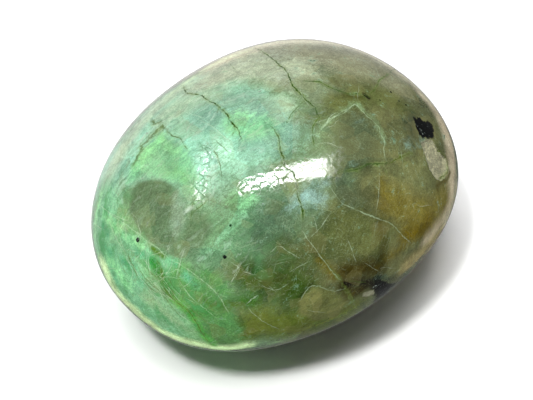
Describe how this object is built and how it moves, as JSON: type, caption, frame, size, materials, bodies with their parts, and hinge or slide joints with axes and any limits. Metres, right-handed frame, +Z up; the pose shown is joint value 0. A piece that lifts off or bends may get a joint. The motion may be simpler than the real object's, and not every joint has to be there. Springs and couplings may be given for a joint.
{
  "type": "tumbled stone",
  "caption": "Smooth ovoid pebble of polished green feldspar with a small flat resting spot and one shallow rough pit near a shoulder.",
  "frame": {"origin": "middle of the bounding box's base, on the surface that the stone rests on", "axes": "+X along the stone's long axis, +Y across it, +Z up, square to the flat spot that it rests on"},
  "size_m": [0.031, 0.025, 0.021],
  "materials": {
    "polished_feldspar": "tumbled and polished to a wet gloss, slightly translucent, veined and crazed green feldspar"
  },
  "bodies": {
    "root": {"tumbled_stone": "polished_feldspar"}
  },
  "joints": []
}
